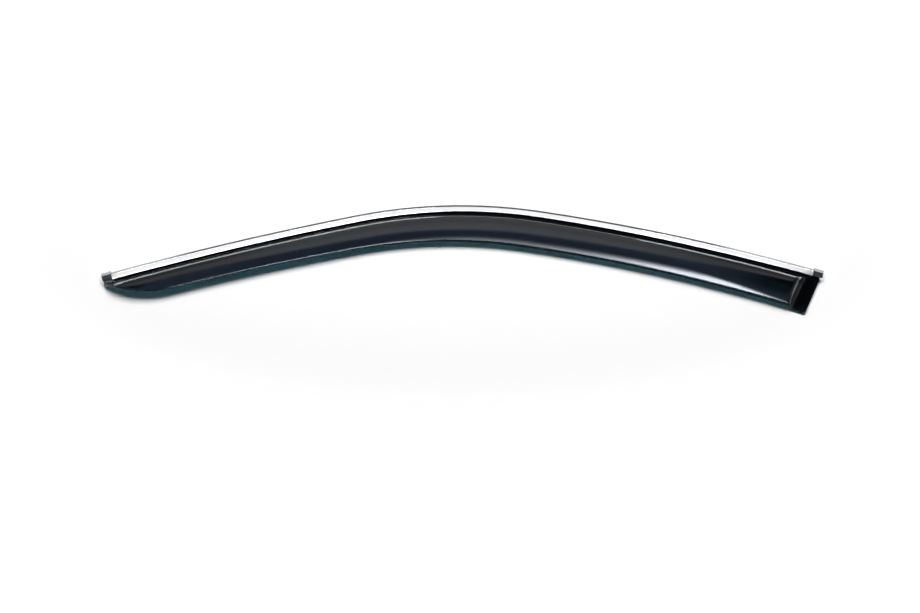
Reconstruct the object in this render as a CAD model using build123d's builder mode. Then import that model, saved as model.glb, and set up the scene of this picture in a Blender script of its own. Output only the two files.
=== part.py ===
from build123d import *
import os
from math import cos, degrees, radians, sin, tan

# Window rain deflector for a left front door, in millimetres, lying with its outer face up.
# +X runs along the door to the wide rear end, +Y up to the roof, +Z outwards from the door.
# The origin is on the mounting plane, in the middle of the edge tape at the crown.

# Roof edge in plan: a crown arc between two flatter flank arcs
crown_radius = 557.0
crown_front_angle = 15.7
crown_rear_angle = 11.8
front_flank_radius = 3440.0
front_flank_length = 362.5
rear_flank_radius = 2130.0
rear_flank_length = 404.5

# Lower edge in plan: it draws away from the roof edge towards the rear and turns up at the tip
lower_crown_radius = 522.0
lower_crown_drop = 79.3
lower_crown_shift = -14.0
lower_crown_front_angle = 13.9
lower_crown_rear_angle = 11.2
lower_front_radius = 2760.0
lower_rear_radius = 1825.0
lower_rear_setback = 14.5
tip_run = 100.5
tip_width = 21.0
rear_corner_radius = 3.0

# Moulding: a flat flange along the roof edge and the wide end, a sloping shoulder and a crowned blade
wall = 2.6
flange_width = 18.5
flange_bevel = 0.4
end_flange_width = 18.5
shoulder_slope = 38.0
shoulder_foot_radius = 2.0
end_wall_slope = 55.0
crest_radius = 7.0
end_crest_radius = 7.0
blade_radius = 90.0
blade_peak_inset = 51.0
blade_peak_height = 15.35

# Foam tape behind the flange, and the release film on it
tape_width = 8.0
tape_thickness = 1.1
tape_end_gap = 16.0
end_tape_width = 10.0
end_tape_length = 50.0
end_tape_margin = 5.0
tape_gap = 3.0
hem_gap = 0.6
liner_thickness = 0.15

# Roll-formed trim strip with a hem under the flange and a crease along its face
strip_gauge = 0.5
strip_width = 15.0
strip_clearance = 0.05
strip_hem = 2.6
strip_edge_rise = 0.4
strip_crease_inset = 5.6
strip_crease_rise = 2.55
strip_lip_rise = 3.3
strip_bend_radius = 0.6

# Plated end caps over the strip's ends
cap_length = 14.0
cap_wall = 0.9
cap_end_wall = 1.3
cap_clearance = 0.1
cap_collar_length = 2.2
cap_collar_rise = 0.45
cap_bevel = 0.8

# How far swept and cutting bodies run past the moulding: at its edges, past its ends and across it
overshoot = 10.0
far_reach = 150.0
section_reach = 130.0

# Levels and angles that follow from the sizes above
flange_bottom = liner_thickness + tape_thickness
flange_top = flange_bottom + wall
tape_inset = strip_hem + hem_gap + tape_width / 2
front_flank_angle = degrees(front_flank_length / front_flank_radius)
rear_flank_angle = degrees(rear_flank_length / rear_flank_radius)
lower_front_angle = degrees((front_flank_length - tip_run) / lower_front_radius)
lower_rear_angle = degrees((rear_flank_length - lower_rear_setback) / lower_rear_radius)
slope = radians(shoulder_slope)


def roof_line(inset, overrun=0.0):
    """Three tangent arcs from the rear end to the tip, set in from the roof edge, run on past both ends."""
    rear_angle = rear_flank_angle + degrees(overrun / rear_flank_radius)
    tip_angle = front_flank_angle + degrees(overrun / front_flank_radius)
    back = JernArc((0, tape_inset), (1, 0), crown_radius, -crown_rear_angle, mode=Mode.PRIVATE)
    back = JernArc(back @ 1, back % 1, rear_flank_radius, -rear_angle, mode=Mode.PRIVATE)
    forward = -(back % 1)
    start = back @ 1 + forward.rotate(Axis.Z, 90) * inset
    rear_arc = JernArc(start, forward, rear_flank_radius - inset, rear_angle)
    crown_angle = crown_rear_angle + crown_front_angle
    crown_arc = JernArc(rear_arc @ 1, rear_arc % 1, crown_radius - inset, crown_angle)
    return JernArc(crown_arc @ 1, crown_arc % 1, front_flank_radius - inset, tip_angle)


def across(path, place):
    """Section plane square to a path: x inwards from the roof edge, y up from the flange's underside."""
    along = path % place
    level = Vector(0, 0, flange_bottom)
    return Plane(path @ place + level, x_dir=along.rotate(Axis.Z, 90), z_dir=along)


with BuildLine() as roof_edge:
    roof_line(0)
roof_path = roof_edge.wire()
with BuildLine() as long_edge:
    roof_line(0, far_reach)
long_path = long_edge.wire()
rear_end = roof_path @ 0
rear_inward = (roof_path % 0).rotate(Axis.Z, 90)
tip_end = roof_path @ 1
tip_inward = (roof_path % 1).rotate(Axis.Z, 90)

# Outline that trims the moulding in plan; on the roof side it runs past the edge
lower_apex = (lower_crown_shift, tape_inset - lower_crown_drop)
tip_corner = tip_end + tip_inward * tip_width
with BuildSketch(Plane.XY.offset(flange_bottom)) as outline:
    with BuildLine():
        roof_line(-overshoot)
        Polyline(tip_end - tip_inward * overshoot, tip_end, tip_corner)
        front_crown = JernArc(lower_apex, (-1, 0), lower_crown_radius, lower_crown_front_angle)
        front_flank = JernArc(front_crown @ 1, front_crown % 1, lower_front_radius, lower_front_angle)
        TangentArc(front_flank @ 1, tip_corner, tangent=front_flank % 1)
        lower_crown = JernArc(lower_apex, (1, 0), lower_crown_radius, -lower_crown_rear_angle)
        rear_flank = JernArc(lower_crown @ 1, lower_crown % 1, lower_rear_radius, -lower_rear_angle)
        Polyline(rear_flank @ 1, rear_end, rear_end - rear_inward * overshoot)
    make_face()
    fillet(outline.vertices().sort_by(Axis.Y)[0], rear_corner_radius)

# The wide end's edge, and the sloping wall that closes the blade a flange's width before it
end_down = (rear_flank @ 1 - rear_end).normalized()
end_inward = end_down.rotate(Axis.Z, -90)
end_foot = rear_end + end_inward * end_flange_width + Vector(0, 0, flange_top)
end_normal = Vector(0, 0, cos(radians(end_wall_slope))) - end_inward * sin(radians(end_wall_slope))
end_wall_plane = Plane(end_foot, z_dir=end_normal)


def raised_body(depth):
    """Shoulder, blade and end wall as one solid, taken in by a depth from the outer face."""
    high = blade_peak_height + overshoot
    foot = flange_width + depth / sin(slope)
    low_inset = foot - (wall + overshoot) / tan(slope)
    high_inset = foot + (high - wall) / tan(slope)
    with BuildPart() as body:
        with BuildSketch(across(long_path, 0)) as section:
            Polygon(
                (low_inset, -overshoot),
                (section_reach, -overshoot),
                (section_reach, high),
                (high_inset, high),
                align=None,
            )
            with Locations((blade_peak_inset, blade_peak_height - blade_radius)):
                Circle(blade_radius - depth, mode=Mode.INTERSECT)
            fillet(section.vertices().sort_by(Axis.Y)[-1], crest_radius - depth)
        sweep(path=long_path)
        split(bisect_by=end_wall_plane.offset(-depth), keep=Keep.BOTTOM)
        end_wall = body.faces().filter_by(end_wall_plane)
        rounded = body.faces().filter_by(GeomType.TORUS) + body.faces().filter_by(GeomType.CONE)
        fillet(end_wall.edges() & rounded.edges(), end_crest_radius - depth)
    return body.part


with BuildPart() as deflector_panel:
    with BuildSketch(across(long_path, 0)) as flange_section:
        Rectangle(section_reach, wall, align=(Align.MIN, Align.MIN))
        chamfer(flange_section.vertices().sort_by(Axis.X)[:2], flange_bevel)
    sweep(path=long_path)
    add(raised_body(0))
    extrude(outline.sketch, amount=blade_peak_height + overshoot, mode=Mode.INTERSECT)
    flange = deflector_panel.faces().filter_by(Plane.XY).sort_by(Axis.Z)[-1]
    shoulder = deflector_panel.faces().filter_by(GeomType.CONE).sort_by(SortBy.AREA)[-3:]
    corner = deflector_panel.faces().filter_by(GeomType.BSPLINE)
    sides = shoulder + corner + deflector_panel.faces().filter_by(end_wall_plane)
    fillet(flange.edges() & sides.edges(), shoulder_foot_radius)
    add(raised_body(wall), mode=Mode.SUBTRACT)

# Trim strip: hem, roof side, creased face and a lip that stands on the flange
strip_edge = strip_clearance + strip_gauge / 2
strip_lip = strip_width - strip_gauge / 2
strip_line = [
    (strip_hem, -strip_edge),
    (-strip_edge, -strip_edge),
    (-strip_edge, wall + strip_edge_rise),
    (strip_crease_inset, wall + strip_crease_rise),
    (strip_lip, wall + strip_lip_rise),
    (strip_lip, wall + strip_clearance),
]
with BuildPart() as trim_strip:
    with BuildSketch(across(roof_path, 0)):
        with BuildLine():
            FilletPolyline(*strip_line, radius=strip_bend_radius)
        trace(line_width=strip_gauge)
    sweep(path=roof_path)

# End caps: a shell over the strip, open below, with a bevelled end wall and a raised collar
cap_skin = strip_gauge / 2 + cap_clearance
cap_low = -strip_clearance - strip_gauge


def cap_section(grow):
    """Closed section over the strip, grown from the middle of its gauge."""
    return [
        (-strip_edge - grow, cap_low),
        (-strip_edge - grow, wall + strip_edge_rise + grow),
        (strip_crease_inset, wall + strip_crease_rise + grow),
        (strip_lip + grow, wall + strip_lip_rise + grow),
        (strip_lip + grow, cap_low),
    ]


def end_cap(plane, outward):
    """Cap on one end of the strip, with outward as +1 or -1 along the plane's normal."""
    end_plane = plane.offset(outward * (cap_clearance + cap_end_wall))
    collar_plane = end_plane.offset(-outward * cap_length)
    with BuildPart() as cap:
        with BuildSketch(end_plane):
            Polygon(*cap_section(cap_skin + cap_wall), align=None)
        extrude(amount=-outward * cap_length)
        end_face = cap.faces().filter_by(end_plane).sort_by(Axis(plane.origin, plane.z_dir * outward))[-1]
        chamfer(end_face.edges().sort_by(Axis.Z)[1:], cap_bevel)
        with BuildSketch(collar_plane):
            Polygon(*cap_section(cap_skin + cap_wall + cap_collar_rise), align=None)
        extrude(amount=outward * cap_collar_length)
        with BuildSketch(plane.offset(outward * cap_clearance)):
            Polygon(*cap_section(cap_skin), align=None)
            with Locations((0, cap_low)):
                Rectangle(
                    strip_width + overshoot,
                    wall + cap_clearance - cap_low,
                    align=(Align.MIN, Align.MIN),
                )
        extrude(amount=-outward * cap_length, mode=Mode.SUBTRACT)
    return cap.part


with BuildPart() as front_end_cap:
    add(end_cap(across(roof_path, 1), 1))

with BuildPart() as rear_end_cap:
    add(end_cap(across(roof_path, 0), -1))

# Foam tape along the roof flange and up the wide end's flange, each with its release film
end_gap = tape_end_gap / roof_path.length
tape_path = roof_path.trim(end_gap, 1 - end_gap)
end_tape_plane = Plane(rear_end, x_dir=end_down, z_dir=(0, 0, 1))
end_tape_start = tape_inset + tape_width / 2 + tape_gap
end_tape_middle = (end_tape_start + end_tape_length / 2, -end_tape_margin - end_tape_width / 2)

with BuildPart() as edge_tape:
    with BuildSketch(across(tape_path, 0)):
        with Locations((tape_inset, -tape_thickness / 2)):
            Rectangle(tape_width, tape_thickness)
    sweep(path=tape_path)

with BuildPart() as edge_tape_liner:
    with BuildSketch(across(tape_path, 0)):
        with Locations((tape_inset, -tape_thickness - liner_thickness / 2)):
            Rectangle(tape_width, liner_thickness)
    sweep(path=tape_path)

with BuildPart() as end_tape:
    with BuildSketch(end_tape_plane.offset(liner_thickness)):
        with Locations(end_tape_middle):
            Rectangle(end_tape_length, end_tape_width)
    extrude(amount=tape_thickness)

with BuildPart() as end_tape_liner:
    with BuildSketch(end_tape_plane):
        with Locations(end_tape_middle):
            Rectangle(end_tape_length, end_tape_width)
    extrude(amount=liner_thickness)

os.makedirs("parts", exist_ok=True)
deflector_panel.part.label = "deflector_panel"
export_step(deflector_panel.part, "parts/deflector_panel.step")
trim_strip.part.label = "trim_strip"
export_step(trim_strip.part, "parts/trim_strip.step")
front_end_cap.part.label = "front_end_cap"
export_step(front_end_cap.part, "parts/front_end_cap.step")
rear_end_cap.part.label = "rear_end_cap"
export_step(rear_end_cap.part, "parts/rear_end_cap.step")
edge_tape.part.label = "edge_tape"
export_step(edge_tape.part, "parts/edge_tape.step")
edge_tape_liner.part.label = "edge_tape_liner"
export_step(edge_tape_liner.part, "parts/edge_tape_liner.step")
end_tape.part.label = "end_tape"
export_step(end_tape.part, "parts/end_tape.step")
end_tape_liner.part.label = "end_tape_liner"
export_step(end_tape_liner.part, "parts/end_tape_liner.step")
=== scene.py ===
import math

import bpy
import numpy as np
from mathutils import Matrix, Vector


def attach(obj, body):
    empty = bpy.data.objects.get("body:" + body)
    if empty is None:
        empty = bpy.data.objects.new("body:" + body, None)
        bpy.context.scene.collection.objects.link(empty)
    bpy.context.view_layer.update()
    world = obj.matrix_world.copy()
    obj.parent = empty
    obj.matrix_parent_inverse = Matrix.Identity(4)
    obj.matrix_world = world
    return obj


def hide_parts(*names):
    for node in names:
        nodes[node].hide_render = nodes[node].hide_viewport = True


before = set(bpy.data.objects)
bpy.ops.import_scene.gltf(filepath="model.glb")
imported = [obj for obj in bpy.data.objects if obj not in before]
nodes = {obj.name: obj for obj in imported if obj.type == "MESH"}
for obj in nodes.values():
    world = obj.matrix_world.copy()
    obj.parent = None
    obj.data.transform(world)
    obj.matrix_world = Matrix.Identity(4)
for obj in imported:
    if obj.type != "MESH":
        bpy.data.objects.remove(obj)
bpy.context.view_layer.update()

# Camera, as in the photograph: 50 degrees down, straight at the middle
CAMERA_AT = (-0.0011, -1.0583, 1.04362)
LOOKS_AT = (-0.0011, -0.1826, 0.0)
FOCAL_PIXELS = 1012.37
IMAGE_WIDTH = 920
SENSOR = 36.0
NEAREST = 0.05

# The panel's sizes in millimetres, as in the CAD source
CROWN, FRONT, REAR = 557.0, 3440.0, 2130.0
CROWN_FRONT, CROWN_REAR = math.radians(15.7), math.radians(11.8)
FRONT_LENGTH, REAR_LENGTH = 362.5, 404.5
ROOF_TOP = 7.2
LOWER_CROWN, LOWER_FRONT, LOWER_REAR = 522.0, 2760.0, 1825.0
LOWER_CROWN_FRONT, LOWER_CROWN_REAR = math.radians(13.9), math.radians(11.2)
LOWER_FRONT_LENGTH, LOWER_REAR_LENGTH = 262.0, 390.0
LOWER_DROP, LOWER_SHIFT = 79.3, -14.0
TIP_WIDTH, REAR_CORNER = 21.0, 3.0
WALL, FLANGE, FLANGE_BOTTOM = 2.6, 18.5, 1.25
SHOULDER, END_SLOPE, END_FLANGE = math.radians(38), math.radians(55), 18.5
CREST, END_CREST, FOOT, INNER_FOOT = 7.0, 7.0, 2.0, 0.4
BLADE, PEAK_INSET, PEAK_HEIGHT = 90.0, 51.0, 15.35
MILLIMETRE = 0.001

# Rounded edges that only the render has: all round, along the lower edge, and at the roof edge
EDGE_ROUND, LOWER_ROUND, ROOF_BEVEL = 1.2, 2.2, 0.4
UNDER_ROUND = 0.1

# How fine the panel's mesh is: points on the lower edge, ribs along the roof edge, places across a rib
TURN_POINTS, FRONT_POINTS, CROWN_POINTS, REAR_POINTS, CORNER_POINTS = 160, 260, 260, 390, 24
ROUND_STEPS = 1 - np.cos(np.linspace(0, math.pi / 2, 8))
TIP_RUNS = (1.6, 2.4, 3.4, 4.6, 6, 7.6, 9.4)
END_RUNS = np.arange(70, 1.4, -0.55)
MIDDLE_RIBS = 342
RIB_TURN, RIB_TURN_LENGTH = 260, 190
FLANGE_PLACES = np.concatenate(
    [
        [0, 0.2, 0.4],
        np.arange(2, 16.5, 2),
        np.arange(16.6, 20.6, 0.3),
        np.arange(21, 31, 1.2),
        np.arange(31.2, 39, 0.4),
    ]
)
BLADE_PLACES = np.linspace(0, 1, 29)[1:]
LEAST_BLADE = 8
LOWER_MARGIN = 1.3
HALVINGS, LOWEST, HIGHEST = 44, -1.0, 30.0
SLOPE_BLEND = 4

# Levels of the studio that the gloss mirrors, and of the light on everything else
WORLD_LIGHT = 0.03
SWEEP_WHITE = (1, 1, 1, 1)
SWEEP_ENDS = (0.5, 0.5, 0.51, 1)
SWEEP_BRIGHT = (1.75, 1.75, 1.8, 1)
STUDIO_DIM = (0.36, 0.42, 0.62, 1)
STUDIO_DARK = (0.04, 0.04, 0.05, 1)
STUDIO_FRONT = (0.3, 0.3, 0.32, 1)
HORIZON = (0.1, 0.1, 0.11, 1)
HORIZON_PALE = (0.5, 0.5, 0.51, 1)
FRONT_LIGHT = (26, 26.5, 27, 1)

# Areas of the studio, each past a limit in some direction: direction, limit, softness
HIGH = (0, 0, 1), 0.42, 0.06
BEHIND = (0, 1, 0), 0.3, 0.08
AHEAD = (0, -1, 0), 0.05, 0.1
AHEAD_HIGH = (0, 0, 1), 0.68, 0.015
TOP_RIGHT = (0.42, 0, 1), 0.857, 0.035
TOP_LEFT = (-0.57, 0, 1), 0.857, 0.035
RIGHT_FLAG = (1.2, 0, 1), 1.02, 0.012
RIGHT_DARK = (1, 0, 0.5), 0.635, 0.02
LEFT_FLAG = (-1, 0, 0.5), 0.655, 0.004
LEFT_FLAG_BELOW = (0, 0, -1), -0.75, 0.05
RIGHT_END = (1, 0, 0), 0.26, 0.06
LEFT_END = (-1, 0, 0), 0.25, 0.06
ENDS_BELOW = (0, 0, -1), -0.565, 0.02
CENTRE_ABOVE = (0, 0, 1), 0.67, 0.12
CENTRE_FROM = (1, 0, 0), -0.2, 0.08
CENTRE_TO = (-1, 0, 0), -0.2, 0.08
HORIZON_ABOVE = (0, 0, 1), 0.02, 0.01
HORIZON_BEHIND = (0, 1, 0), 0.6, 0.05
HORIZON_BELOW = (0, 0, -1), -0.14, 0.02
HORIZON_SIDES_BELOW = (0, 0, -1), -0.26, 0.02
HORIZON_RIGHT = (1, 0, 0), 0.41, 0.01
HORIZON_LEFT = (-1, 0, 0), 0.41, 0.01
HORIZON_DARK_FROM = (1, 0, 0), -0.37, 0.025
HORIZON_DARK_TO = (-1, 0, 0), -0.345, 0.015
FRONT_LIGHT_AHEAD = (0, -1, 0), 0.12, 0.03
FRONT_LIGHT_HIGH = (0, 0, 1), 0.84, 0.02
FRONT_LIGHT_RIGHT = (1, 0, 0), 0.07, 0.05

# Floor: its own light rises with the distance from the part, which is longer than it is deep
FLOOR_REACH, FLOOR_HEIGHT = 9.0, -0.0002
FLOOR_COLOUR = (0.95, 0.95, 0.95, 1)
FLOOR_STRETCH, FLOOR_SHIFT = (0.55, 1, 0), (0, -0.05, 0)
FLOOR_GLOW_FROM, FLOOR_GLOW_TO, FLOOR_GLOW = 0.34, 1.1, 0.9

# Softboxes: place, target, width, depth and brightness; and the stops of the overhead one's uneven brightness
OVERHEAD = (0.25, 0.25, 2.15), (0.25, 0.25, 0), 0.8, 0.8, 36.5
BACK_LEFT = (-0.85, 2.4, 0.88), (0, -0.1, 0), 1.5, 0.46, 13.5
BACK_RIGHT = (1.35, 2.2, 0.87), (0.2, -0.1, 0), 1.0, 0.46, 16.5
FILL = (0, 0.75, 2.2), (0, 0.75, 0), 2.6, 2.0, 5.1
OVERHEAD_ACROSS = (
    (0, 0.1), (0.19, 0.22), (0.44, 0.42), (0.71, 0.95), (0.9, 1), (0.94, 0.5), (0.97, 0.12), (1, 0.03)
)
OVERHEAD_ALONG = ((0, 1), (0.44, 1), (0.55, 0.88), (0.64, 0.58), (0.74, 0.3), (0.84, 0.12), (1, 0))


# ---- the panel's plan ----


def polar(centre, radius, angle):
    """Points on an arc, with the angle from +Y towards +X."""
    angle = np.asarray(angle, float)
    return np.stack([centre[0] + radius * np.sin(angle), centre[1] + radius * np.cos(angle)], -1)


def next_centre(centre, radius, new_radius, angle):
    """Centre of the arc that goes on from another at an angle."""
    along = np.array([math.sin(angle), math.cos(angle)])
    return np.asarray(centre) + (radius - new_radius) * along


CROWN_CENTRE = np.array([0.0, ROOF_TOP - CROWN])
REAR_CENTRE = next_centre(CROWN_CENTRE, CROWN, REAR, CROWN_REAR)
FRONT_CENTRE = next_centre(CROWN_CENTRE, CROWN, FRONT, -CROWN_FRONT)
ROOF_LENGTH = FRONT_LENGTH + CROWN * (CROWN_FRONT + CROWN_REAR) + REAR_LENGTH


def roof(run):
    """Points and inward directions along the roof edge, by the run from the tip."""
    run = np.asarray(run, float)
    crown_run = run - FRONT_LENGTH
    rear_run = crown_run - CROWN * (CROWN_FRONT + CROWN_REAR)
    angle = np.where(
        crown_run < 0,
        -CROWN_FRONT + crown_run / FRONT,
        np.where(rear_run < 0, -CROWN_FRONT + crown_run / CROWN, CROWN_REAR + rear_run / REAR),
    )
    point = np.where(
        (crown_run < 0)[:, None],
        polar(FRONT_CENTRE, FRONT, angle),
        np.where((rear_run < 0)[:, None], polar(CROWN_CENTRE, CROWN, angle), polar(REAR_CENTRE, REAR, angle)),
    )
    return point, -np.stack([np.sin(angle), np.cos(angle)], -1)


def inset_of(x, y):
    """Distance of plan points from the roof edge."""
    angle = np.arctan2(x - CROWN_CENTRE[0], y - CROWN_CENTRE[1])
    crown = CROWN - np.hypot(x - CROWN_CENTRE[0], y - CROWN_CENTRE[1])
    rear = REAR - np.hypot(x - REAR_CENTRE[0], y - REAR_CENTRE[1])
    front = FRONT - np.hypot(x - FRONT_CENTRE[0], y - FRONT_CENTRE[1])
    return np.where(angle > CROWN_REAR, rear, np.where(angle < -CROWN_FRONT, front, crown))


def turn_to_tip(tip_corner, start, angle):
    """The arc from the tip's corner to the lower edge, which it meets at a point and an angle."""
    normal = -np.array([math.sin(angle), math.cos(angle)])
    chord = tip_corner - start
    radius = chord @ chord / (2 * chord @ -normal)
    centre = start - normal * radius
    first, last = tip_corner - centre, start - centre
    begin, end = math.atan2(first[0], first[1]), math.atan2(last[0], last[1])
    end += 2 * math.pi * round((begin - end) / (2 * math.pi))
    return polar(centre, abs(radius), np.linspace(begin, end, TURN_POINTS))


def rounded_corner(corner, before, rear_end):
    """The round at the rear corner of the lower edge, and its length along the edge."""
    back = (before - corner) / np.hypot(*(before - corner))
    up = (rear_end - corner) / np.hypot(*(rear_end - corner))
    half = math.acos(back @ up) / 2
    away = REAR_CORNER / math.tan(half)
    middle = (back + up) / np.hypot(*(back + up))
    pivot = corner + middle * REAR_CORNER / math.sin(half)
    share = np.linspace(0, 1, CORNER_POINTS)[:, None]
    bend = (1 - share) * (corner + back * away - pivot) + share * (corner + up * away - pivot)
    return pivot + REAR_CORNER * bend / np.hypot(bend[:, 0], bend[:, 1])[:, None], away


def lower_edge(tip_corner, rear_end):
    """The lower edge in plan from the tip's corner to the rounded rear corner, and that corner when sharp."""
    centre = np.array([LOWER_SHIFT, ROOF_TOP - LOWER_DROP - LOWER_CROWN])
    front_centre = next_centre(centre, LOWER_CROWN, LOWER_FRONT, -LOWER_CROWN_FRONT)
    rear_centre = next_centre(centre, LOWER_CROWN, LOWER_REAR, LOWER_CROWN_REAR)
    front_angle = -LOWER_CROWN_FRONT - LOWER_FRONT_LENGTH / LOWER_FRONT
    rear_angle = LOWER_CROWN_REAR + LOWER_REAR_LENGTH / LOWER_REAR
    front = polar(front_centre, LOWER_FRONT, np.linspace(front_angle, -LOWER_CROWN_FRONT, FRONT_POINTS))
    crown = polar(centre, LOWER_CROWN, np.linspace(-LOWER_CROWN_FRONT, LOWER_CROWN_REAR, CROWN_POINTS))
    rear = polar(rear_centre, LOWER_REAR, np.linspace(LOWER_CROWN_REAR, rear_angle, REAR_POINTS))
    turn = turn_to_tip(tip_corner, front[0], front_angle)
    corner = rear[-1]
    bend, away = rounded_corner(corner, rear[-2], rear_end)
    keep = np.hypot(*(rear - corner).T) > away
    return np.concatenate([turn, front[1:], crown[1:], rear[1:][keep[1:]], bend]), corner


# ---- the panel's heights ----


def section(inset, depth):
    """Height of shoulder, crest and blade over the flange's underside, and the cosine of the slope."""
    radius, fillet = BLADE - depth, CREST - depth
    base = np.array([FLANGE + depth / math.sin(SHOULDER), WALL])
    up = np.array([math.cos(SHOULDER), math.sin(SHOULDER)])
    normal = np.array([-math.sin(SHOULDER), math.cos(SHOULDER)])
    hub = np.array([PEAK_INSET, PEAK_HEIGHT - BLADE])
    start = base - fillet * normal - hub
    along = start @ up
    spread_run = math.sqrt(along**2 - start @ start + (radius - fillet) ** 2)
    run = -along - spread_run
    if (base + up * run)[1] < 0:
        run = -along + spread_run
    pivot = hub + start + up * run
    first = (pivot + fillet * normal)[0]
    last = (hub + (pivot - hub) * radius / (radius - fillet))[0]
    line = base[1] + (inset - base[0]) * math.tan(SHOULDER)
    crest = pivot[1] + np.sqrt(np.maximum(fillet**2 - (inset - pivot[0]) ** 2, 1e-9))
    blade = hub[1] + np.sqrt(np.maximum(radius**2 - (inset - hub[0]) ** 2, 1e-9))
    crest_slope = -(inset - pivot[0]) / (crest - pivot[1])
    blade_slope = -(inset - hub[0]) / (blade - hub[1])
    height = np.where(inset < first, line, np.where(inset < last, crest, blade))
    slope = np.where(inset < first, math.tan(SHOULDER), np.where(inset < last, crest_slope, blade_slope))
    return height, 1 / np.sqrt(1 + slope**2)


def join(a, b, radius, angle, sign):
    """Two distances joined with a round between faces at an angle: the larger for 1, the smaller for -1."""
    reach = radius * (1 - np.cos(angle / 2)) / (1 - math.sqrt(0.5))
    near = np.maximum(reach - np.abs(a - b), 0) / reach
    most = np.maximum(a * sign, b * sign)
    return sign * (most + reach * 0.5 * (1 + near - np.sqrt(1 - near * (near - 2))))


def surface(inset, end_run, depth):
    """Heights of the outer face, or of the inner one at a depth, over the flange's underside."""
    height, lean = section(inset, depth)
    low, high = np.full_like(inset, LOWEST), np.full_like(inset, HIGHEST)
    level, foot = (WALL, FOOT) if depth == 0 else (0.0, INNER_FOOT)
    for _ in range(HALVINGS):
        middle = (low + high) / 2
        blade = (middle - height) * lean
        end = (middle - WALL) * math.cos(END_SLOPE) - (end_run - END_FLANGE) * math.sin(END_SLOPE) + depth
        raised = join(blade, end, END_CREST - depth, END_SLOPE, 1)
        steep = np.clip((end - blade) / SLOPE_BLEND + 0.5, 0, 1)
        out = join(raised, middle - level, foot, SHOULDER + (END_SLOPE - SHOULDER) * steep, -1)
        low = np.where(out < 0, middle, low)
        high = np.where(out < 0, high, middle)
    return (low + high) / 2


def rounding(run, radius):
    """How far a rounded edge lies below the surface, by the run from the edge."""
    return radius - np.sqrt(np.maximum(radius**2 - np.maximum(radius - run, 0) ** 2, 0))


# ---- the panel's mesh ----


def rib_runs():
    """Where the ribs start along the roof edge, closer together at both ends."""
    rim = EDGE_ROUND * ROUND_STEPS
    near_tip = np.concatenate([rim, TIP_RUNS])
    far_end = ROOF_LENGTH - np.concatenate([END_RUNS, rim[::-1]])
    middle = np.linspace(near_tip[-1], far_end[0], MIDDLE_RIBS)[1:-1]
    return np.concatenate([near_tip, middle, far_end])


def turned(direction, angle):
    """Plan directions turned by angles."""
    x, y = direction[:, 0], direction[:, 1]
    return np.stack([x * np.cos(angle) - y * np.sin(angle), x * np.sin(angle) + y * np.cos(angle)], -1)


def reach_to(edge, point, rib):
    """How far each rib runs to the lower edge."""
    reach = np.empty(len(point))
    for n, (p, d) in enumerate(zip(point, rib)):
        side = (edge - p) @ np.array([-d[1], d[0]])
        ahead = (edge - p) @ d
        cross = np.nonzero((side[:-1] * side[1:] <= 0) & (ahead[:-1] > 0))[0]
        if len(cross):
            k = cross[0]
            part = side[k] / (side[k] - side[k + 1]) if side[k] != side[k + 1] else 0.0
            reach[n] = ahead[k] + part * (ahead[k + 1] - ahead[k])
        else:
            reach[n] = ahead[0] if n < len(point) / 2 else ahead[-1]
    return reach


def places_across(reach):
    """Places along each rib: close over flange and crest, even over the blade, then the lower edge's round."""
    last = FLANGE_PLACES[-1]
    scale = np.minimum(reach / (last + LEAST_BLADE), 1)[:, None]
    wide = (reach - LOWER_MARGIN * LOWER_ROUND - last * scale[:, 0])[:, None]
    blade = last * scale + wide * BLADE_PLACES[None, :]
    lower = reach[:, None] - LOWER_ROUND * ROUND_STEPS[::-1][None, :]
    return np.concatenate([FLANGE_PLACES[None, :] * scale, blade, lower], 1)


def closed_faces(rows, columns):
    """Faces of a closed shell over two grids of points: top, underside and rim."""
    top = np.arange(rows * columns).reshape(rows, columns)
    under = top + rows * columns
    around = np.concatenate([top[:-1, 0], top[-1, :-1], top[:0:-1, -1], top[0, :0:-1]])
    after = np.roll(around, -1)
    rim = np.stack([around, after, after + rows * columns, around + rows * columns], -1)
    upper = np.stack([top[:-1, :-1], top[:-1, 1:], top[1:, 1:], top[1:, :-1]], -1)
    lower = np.stack([under[:-1, :-1], under[1:, :-1], under[1:, 1:], under[:-1, 1:]], -1)
    return np.concatenate([upper.reshape(-1, 4), lower.reshape(-1, 4), rim])


def panel_points():
    """The panel's outer and inner points, rib by rib."""
    ends, inward = roof([0.0, ROOF_LENGTH])
    edge, corner = lower_edge(ends[0] + inward[0] * TIP_WIDTH, ends[1])
    end_down = (corner - ends[1]) / np.hypot(*(corner - ends[1]))
    lean = math.atan2(end_down[0], -end_down[1]) - math.atan2(inward[1][0], -inward[1][1])
    run = rib_runs()
    point, rib = roof(run)
    # towards the wide end the ribs turn until the last one lies along its edge
    share = np.clip((run - ROOF_LENGTH + RIB_TURN) / RIB_TURN_LENGTH, 0, 1)
    rib = turned(rib, lean * share**2 * (3 - 2 * share))
    reach = reach_to(edge, point, rib)
    across = places_across(reach)
    plan = point[:, None, :] + rib[:, None, :] * across[:, :, None]
    x, y = plan[..., 0], plan[..., 1]
    inset = inset_of(x, y)
    end_run = (x - ends[1][0]) * end_down[1] - (y - ends[1][1]) * end_down[0]
    rim_run = np.minimum(np.minimum(run[:, None], np.maximum(end_run, 0)), across * EDGE_ROUND / ROOF_BEVEL)
    drop = np.maximum(rounding(rim_run, EDGE_ROUND), rounding(reach[:, None] - across, LOWER_ROUND))
    top = surface(inset, end_run, 0.0) - drop
    bottom = surface(inset, end_run, WALL) + drop * UNDER_ROUND
    return np.stack([x, y, top + FLANGE_BOTTOM], -1), np.stack([x, y, bottom + FLANGE_BOTTOM], -1)


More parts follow.
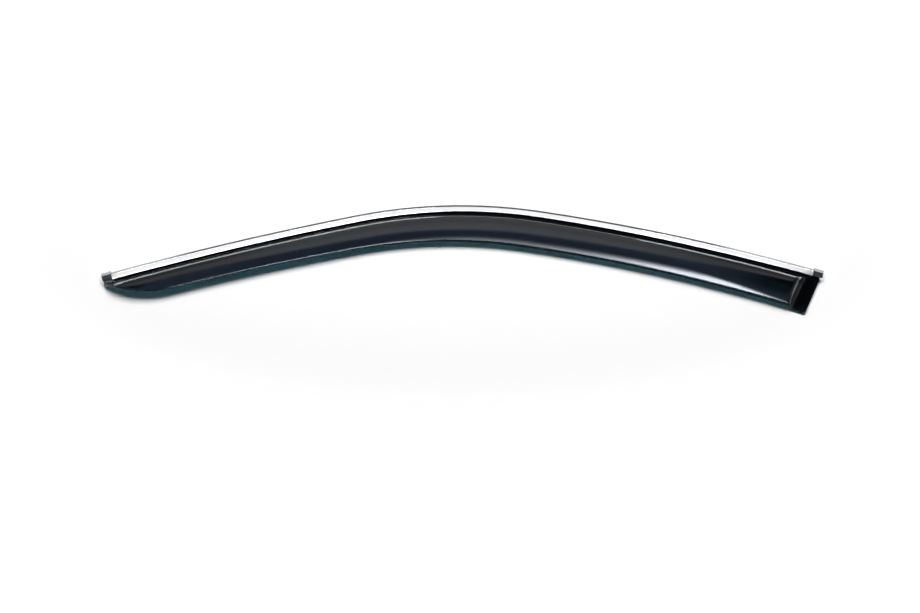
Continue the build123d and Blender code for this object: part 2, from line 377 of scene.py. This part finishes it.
def panel_mesh():
    """The acrylic panel as one closed mesh with a fine, even surface for reflections."""
    over, under = panel_points()
    points = np.concatenate([over.reshape(-1, 3), under.reshape(-1, 3)]) * MILLIMETRE
    mesh = bpy.data.meshes.new("acrylic_panel")
    mesh.from_pydata(points.tolist(), [], closed_faces(*over.shape[:2]).tolist())
    mesh.polygons.foreach_set("use_smooth", [True] * len(mesh.polygons))
    mesh.update()
    return mesh


# ---- materials ----


def shader_tree(data):
    """An empty node tree on a material or world."""
    data.use_nodes = True
    data.node_tree.nodes.clear()
    return data.node_tree


def add(tree, kind, **values):
    """A new node; values name node settings or input sockets."""
    node = tree.nodes.new(kind)
    for name, value in values.items():
        if hasattr(node, name):
            setattr(node, name, value)
        else:
            node.inputs[name.replace("_", " ")].default_value = value
    return node


def link(tree, source, target):
    tree.links.new(source, target)


def combine(tree, operation, *parts):
    """Values combined two by two: MAXIMUM for any of several masks, MINIMUM for all of them."""
    result = parts[0]
    for part in parts[1:]:
        both = add(tree, "ShaderNodeMath", operation=operation)
        link(tree, result, both.inputs[0])
        link(tree, part, both.inputs[1])
        result = both.outputs[0]
    return result


def noise(tree, scale, detail=2.0, stretch=(1, 1, 1)):
    """A noise pattern in metres that stays with the object."""
    place = add(tree, "ShaderNodeTexCoord")
    shape = add(tree, "ShaderNodeMapping", Scale=stretch)
    link(tree, place.outputs["Object"], shape.inputs["Vector"])
    pattern = add(tree, "ShaderNodeTexNoise", Scale=scale, Detail=detail)
    link(tree, shape.outputs["Vector"], pattern.inputs["Vector"])
    return pattern.outputs["Fac"]


def spread(tree, source, low, high, start=0.3, stop=0.7):
    """A pattern turned into a range of values."""
    span = add(tree, "ShaderNodeMapRange", From_Min=start, From_Max=stop, To_Min=low, To_Max=high)
    link(tree, source, span.inputs["Value"])
    return span.outputs["Result"]


def relief(tree, body, source, strength, depth):
    """A pattern used as fine relief on a surface."""
    bump = add(tree, "ShaderNodeBump", Strength=strength, Distance=depth)
    link(tree, source, bump.inputs["Height"])
    link(tree, bump.outputs["Normal"], body.inputs["Normal"])


def tint(tree, body, source, first, second):
    """A pattern used to go between two colours."""
    ramp = add(tree, "ShaderNodeValToRGB")
    for stop, position, colour in zip(ramp.color_ramp.elements, (0.35, 0.65), (first, second)):
        stop.position = position
        stop.color = (*colour, 1)
    link(tree, source, ramp.inputs["Fac"])
    link(tree, ramp.outputs["Color"], body.inputs["Base Color"])


def surface_material(name, **values):
    material = bpy.data.materials.new(name)
    tree = shader_tree(material)
    out = add(tree, "ShaderNodeOutputMaterial")
    body = add(tree, "ShaderNodeBsdfPrincipled", **values)
    link(tree, body.outputs[0], out.inputs["Surface"])
    return material, tree, body


def acrylic():
    """Dark smoked acrylic: polished, see-through when thin, with faint handling haze."""
    material, tree, body = surface_material(
        "smoked_acrylic", IOR=1.49, Transmission_Weight=1.0, Specular_Tint=(0.56, 0.575, 0.635, 1)
    )
    tint(tree, body, noise(tree, 9.0), (0.0045, 0.024, 0.03), (0.006, 0.028, 0.034))
    link(tree, spread(tree, noise(tree, 38.0, 5.0), 0.03, 0.065), body.inputs["Roughness"])
    relief(tree, body, noise(tree, 30.0, 1.0), 0.05, 0.0004)
    return material


def bright_trim():
    """Rolled stainless strip: polished, with fine lines along its length."""
    material, tree, body = surface_material("bright_trim", Metallic=1.0)
    tint(tree, body, noise(tree, 16.0, 4.0), (0.86, 0.865, 0.875), (0.93, 0.93, 0.935))
    link(tree, spread(tree, noise(tree, 60.0, 5.0, (0.15, 9, 9)), 0.025, 0.06), body.inputs["Roughness"])
    relief(tree, body, noise(tree, 26.0, 2.0, (1, 3, 3)), 0.06, 0.0003)
    return material


def plated_cap():
    """Bright plated plastic, with a slight moulded unevenness."""
    material, tree, body = surface_material("plated_cap", Metallic=1.0)
    tint(tree, body, noise(tree, 40.0, 3.0), (0.84, 0.85, 0.87), (0.91, 0.915, 0.93))
    link(tree, spread(tree, noise(tree, 120.0, 4.0), 0.015, 0.04), body.inputs["Roughness"])
    relief(tree, body, noise(tree, 180.0, 2.0), 0.05, 0.0002)
    return material


def foam_tape():
    """Black closed-cell foam."""
    material, tree, body = surface_material("foam_tape", Roughness=0.9)
    place = add(tree, "ShaderNodeTexCoord")
    cells = add(tree, "ShaderNodeTexVoronoi", Scale=1400.0)
    link(tree, place.outputs["Object"], cells.inputs["Vector"])
    tint(tree, body, cells.outputs["Distance"], (0.03, 0.03, 0.032), (0.075, 0.075, 0.078))
    relief(tree, body, cells.outputs["Distance"], 0.5, 0.0003)
    return material


def release_film():
    """Red release film, slightly wrinkled."""
    material, tree, body = surface_material("release_film", IOR=1.5)
    tint(tree, body, noise(tree, 22.0, 3.0), (0.56, 0.05, 0.04), (0.66, 0.075, 0.06))
    link(tree, spread(tree, noise(tree, 90.0, 3.0), 0.28, 0.45), body.inputs["Roughness"])
    relief(tree, body, noise(tree, 45.0, 2.0, (0.4, 1, 1)), 0.2, 0.0006)
    return material


def dress(node, material):
    """A CAD node given its material, with smooth shading between its sharp edges."""
    mesh = nodes[node].data
    mesh.materials.clear()
    mesh.materials.append(material)
    mesh.polygons.foreach_set("use_smooth", [True] * len(mesh.polygons))
    mesh.set_sharp_from_angle(angle=math.radians(30))


# ---- floor, world, lamps and camera ----


def floor_glow(tree):
    """The floor's own light for camera, gloss and glass rays: none at the part, white far from it."""
    place = add(tree, "ShaderNodeNewGeometry")
    stretch = add(tree, "ShaderNodeVectorMath", operation="MULTIPLY_ADD")
    stretch.inputs[1].default_value = FLOOR_STRETCH
    stretch.inputs[2].default_value = FLOOR_SHIFT
    link(tree, place.outputs["Position"], stretch.inputs[0])
    distance = add(tree, "ShaderNodeVectorMath", operation="LENGTH")
    link(tree, stretch.outputs["Vector"], distance.inputs[0])
    level = spread(tree, distance.outputs["Value"], 0.0, FLOOR_GLOW, FLOOR_GLOW_FROM, FLOOR_GLOW_TO)
    rays = add(tree, "ShaderNodeLightPath").outputs
    seen = combine(tree, "MAXIMUM", rays["Is Camera Ray"], rays["Is Glossy Ray"], rays["Is Transmission Ray"])
    glow = add(tree, "ShaderNodeEmission")
    link(tree, combine(tree, "MULTIPLY", level, seen), glow.inputs["Strength"])
    return glow


def floor_material():
    """White floor that keeps the shadow near the part."""
    material = bpy.data.materials.new("floor")
    tree = shader_tree(material)
    out = add(tree, "ShaderNodeOutputMaterial")
    diffuse = add(tree, "ShaderNodeBsdfDiffuse", Color=FLOOR_COLOUR)
    both = add(tree, "ShaderNodeAddShader")
    link(tree, diffuse.outputs[0], both.inputs[0])
    link(tree, floor_glow(tree).outputs[0], both.inputs[1])
    link(tree, both.outputs[0], out.inputs["Surface"])
    return material


class Studio:
    """The surroundings that the gloss mirrors, built from areas of the world's directions."""

    def __init__(self, tree):
        self.tree = tree
        self.direction = add(tree, "ShaderNodeTexCoord").outputs["Generated"]

    def area(self, lean, limit, soft):
        """1 where the direction leans past a limit, softly."""
        dot = add(self.tree, "ShaderNodeVectorMath", operation="DOT_PRODUCT")
        dot.inputs[1].default_value = lean
        link(self.tree, self.direction, dot.inputs[0])
        step = add(
            self.tree,
            "ShaderNodeMapRange",
            interpolation_type="SMOOTHSTEP",
            From_Min=limit - soft,
            From_Max=limit + soft,
        )
        link(self.tree, dot.outputs["Value"], step.inputs["Value"])
        return step.outputs["Result"]

    def masks(self, parts):
        """Areas, where they are still given as values, turned into masks."""
        return [self.area(*part) if isinstance(part, tuple) else part for part in parts]

    def every(self, *parts):
        return combine(self.tree, "MINIMUM", *self.masks(parts))

    def some(self, *parts):
        return combine(self.tree, "MAXIMUM", *self.masks(parts))

    def blend(self, factor, first, second):
        """One colour outside a mask and another in it."""
        mix = add(self.tree, "ShaderNodeMix", data_type="RGBA")
        link(self.tree, factor, mix.inputs[0])
        for socket, colour in ((mix.inputs[6], first), (mix.inputs[7], second)):
            if isinstance(colour, tuple):
                socket.default_value = colour
            else:
                link(self.tree, colour, socket)
        return mix.outputs[2]

    def sweep(self):
        """A white sweep behind that falls to both sides; dim over it, dark at the sides and in front."""
        left = self.every(LEFT_FLAG, HIGH, LEFT_FLAG_BELOW, BEHIND)
        right = self.every(RIGHT_FLAG, HIGH, BEHIND)
        ahead = self.area(*AHEAD)
        dark = self.some(left, self.every(RIGHT_DARK, HIGH, BEHIND))
        front = self.blend(self.area(*AHEAD_HIGH), STUDIO_FRONT, STUDIO_DARK)
        studio = self.blend(ahead, self.blend(dark, STUDIO_DIM, STUDIO_DARK), front)
        ends = self.every(self.some(RIGHT_END, LEFT_END), ENDS_BELOW)
        centre = self.every(CENTRE_ABOVE, CENTRE_FROM, CENTRE_TO)
        white = self.blend(centre, self.blend(ends, SWEEP_WHITE, SWEEP_ENDS), SWEEP_BRIGHT)
        return self.blend(self.some(TOP_RIGHT, TOP_LEFT, right, left, ahead), white, studio)

    def with_horizon(self, sweep):
        """A dark line where the sweep meets the floor, paler and higher to both sides."""
        edge = self.every(HORIZON_ABOVE, HORIZON_BEHIND)
        sides = self.every(edge, HORIZON_SIDES_BELOW, self.some(HORIZON_RIGHT, HORIZON_LEFT))
        line = self.some(self.every(edge, HORIZON_BELOW), sides)
        middle = self.every(HORIZON_DARK_FROM, HORIZON_DARK_TO)
        return self.blend(line, sweep, self.blend(middle, HORIZON_PALE, HORIZON))

    def with_front_light(self, sweep, glossy):
        """A light over the front, for the rounded lower edge."""
        light = self.every(FRONT_LIGHT_AHEAD, FRONT_LIGHT_HIGH, FRONT_LIGHT_RIGHT, glossy)
        return self.blend(light, sweep, FRONT_LIGHT)


def light_world(world):
    """White for the camera, the studio for gloss and glass, and hardly any light for the rest."""
    tree = shader_tree(world)
    out = add(tree, "ShaderNodeOutputWorld")
    rays = add(tree, "ShaderNodeLightPath").outputs
    studio = Studio(tree)
    sweep = studio.with_front_light(studio.with_horizon(studio.sweep()), rays["Is Glossy Ray"])
    mirrored = add(tree, "ShaderNodeBackground")
    link(tree, sweep, mirrored.inputs["Color"])
    dim = add(tree, "ShaderNodeBackground", Color=SWEEP_WHITE, Strength=WORLD_LIGHT)
    white = add(tree, "ShaderNodeBackground", Color=SWEEP_WHITE)
    gloss = add(tree, "ShaderNodeMixShader")
    link(tree, combine(tree, "MAXIMUM", rays["Is Glossy Ray"], rays["Is Transmission Ray"]), gloss.inputs[0])
    link(tree, dim.outputs[0], gloss.inputs[1])
    link(tree, mirrored.outputs[0], gloss.inputs[2])
    shown = add(tree, "ShaderNodeMixShader")
    link(tree, rays["Is Camera Ray"], shown.inputs[0])
    link(tree, gloss.outputs[0], shown.inputs[1])
    link(tree, white.outputs[0], shown.inputs[2])
    link(tree, shown.outputs[0], out.inputs["Surface"])


def aimed(name, data, at, towards):
    """A lamp or camera at a place, turned to a target."""
    thing = bpy.data.objects.new(name, data)
    bpy.context.scene.collection.objects.link(thing)
    thing.location = at
    thing.rotation_euler = (Vector(towards) - Vector(at)).to_track_quat("-Z", "Y").to_euler()
    return thing


def softbox(name, at, towards, width, depth, brightness):
    """A rectangular lamp that looks as bright as given, whatever its size."""
    data = bpy.data.lights.new(name, "AREA")
    data.shape = "RECTANGLE"
    data.size = width
    data.size_y = depth
    data.energy = brightness * math.pi * width * depth
    return aimed(name, data, at, towards)


def soft_edges(lamp, across, along):
    """Uneven brightness over a softbox, as stops from side to side and from the near to the far edge."""
    lamp.data.use_nodes = True
    tree = lamp.data.node_tree
    glow = next(node for node in tree.nodes if node.type == "EMISSION")
    place = add(tree, "ShaderNodeNewGeometry")
    parts = add(tree, "ShaderNodeSeparateXYZ")
    link(tree, place.outputs["Parametric"], parts.inputs[0])
    share = add(tree, "ShaderNodeMath", operation="MULTIPLY")
    for n, stops in enumerate((across, along)):
        ramp = add(tree, "ShaderNodeValToRGB")
        ramp.color_ramp.elements.remove(ramp.color_ramp.elements[1])
        for m, (position, level) in enumerate(stops):
            stop = ramp.color_ramp.elements[0] if m == 0 else ramp.color_ramp.elements.new(position)
            stop.position = position
            stop.color = (level, level, level, 1)
        link(tree, parts.outputs[n], ramp.inputs["Fac"])
        link(tree, ramp.outputs["Color"], share.inputs[n])
    link(tree, share.outputs[0], glow.inputs["Strength"])


# ---- the part ----

panel = bpy.data.objects.new("acrylic_panel", panel_mesh())
bpy.context.scene.collection.objects.link(panel)
panel.data.materials.append(acrylic())
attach(panel, "root")
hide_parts("deflector_panel")

dress("trim_strip", bright_trim())
plating = plated_cap()
dress("front_end_cap", plating)
dress("rear_end_cap", plating)
foam = foam_tape()
dress("edge_tape", foam)
dress("end_tape", foam)
film = release_film()
dress("edge_tape_liner", film)
dress("end_tape_liner", film)

# ---- the stage ----

corners = [(x * FLOOR_REACH, y * FLOOR_REACH, 0) for x, y in ((-1, -1), (1, -1), (1, 1), (-1, 1))]
floor_mesh = bpy.data.meshes.new("floor")
floor_mesh.from_pydata(corners, [], [(0, 1, 2, 3)])
floor_mesh.materials.append(floor_material())
floor = bpy.data.objects.new("floor", floor_mesh)
bpy.context.scene.collection.objects.link(floor)
floor.location.z = FLOOR_HEIGHT

bpy.context.scene.world = bpy.data.worlds.new("studio")
light_world(bpy.context.scene.world)

# softboxes that only the gloss mirrors: one over the wide half, brightest to the right, and two low ones behind
overhead = softbox("overhead", *OVERHEAD)
soft_edges(overhead, OVERHEAD_ACROSS, OVERHEAD_ALONG)
for lamp in (overhead, softbox("back_left", *BACK_LEFT), softbox("back_right", *BACK_RIGHT)):
    lamp.visible_diffuse = False
# a broad one, from above and behind, for everything that isn't glossy
softbox("fill", *FILL).visible_glossy = False

camera_data = bpy.data.cameras.new("camera")
camera_data.sensor_width = SENSOR
camera_data.lens = SENSOR * FOCAL_PIXELS / IMAGE_WIDTH
camera_data.clip_start = NEAREST
bpy.context.scene.camera = aimed("camera", camera_data, CAMERA_AT, LOOKS_AT)
bpy.context.scene.view_settings.view_transform = "Standard"
